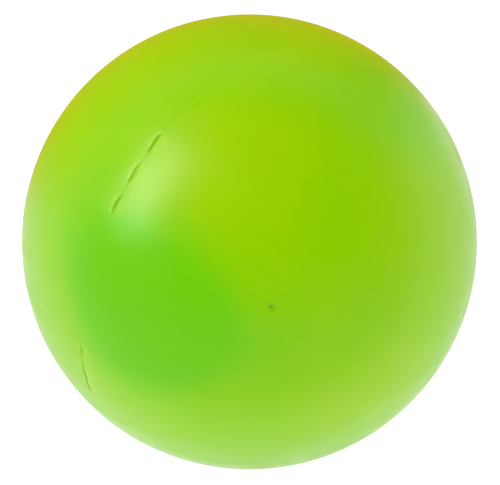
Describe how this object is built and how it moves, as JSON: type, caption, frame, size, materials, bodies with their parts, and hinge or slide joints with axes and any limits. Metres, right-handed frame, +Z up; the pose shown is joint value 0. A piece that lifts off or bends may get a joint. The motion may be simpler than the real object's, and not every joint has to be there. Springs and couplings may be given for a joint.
{
  "type": "juggling ball",
  "caption": "Round soft vinyl juggling ball: two bonded half shells with a fine seam groove, a pull-out bung in the filling port and loose grain that rolls inside.",
  "frame": {"origin": "centre of the ball, which is the centre of its box", "axes": "+Z up, with the loose grain settled at -Z; +Y out of the filling port along the pole axis, so the two half shells meet in the plane Y = 0 and the plain front half faces -Y"},
  "size_m": [0.067, 0.067, 0.067],
  "materials": {
    "shell_vinyl": "satin",
    "seam_cement": "satin",
    "bung_vinyl": "satin",
    "millet": "satin"
  },
  "bodies": {
    "ball": {"shell_front": "shell_vinyl", "shell_rear": "shell_vinyl", "seam_bond": "seam_cement"},
    "bung": {"port_plug": "bung_vinyl"},
    "grain": {"grain_fill": "millet"}
  },
  "joints": [
    {"name": "plug_pull", "type": "slide", "parent": "ball", "child": "bung", "axis": [0, 1, 0], "range_m": [0, 0.03]},
    {"name": "grain_roll", "type": "hinge", "parent": "ball", "child": "grain", "pos_m": [0, 0, 0], "axis": [0, 1, 0], "continuous": true}
  ]
}
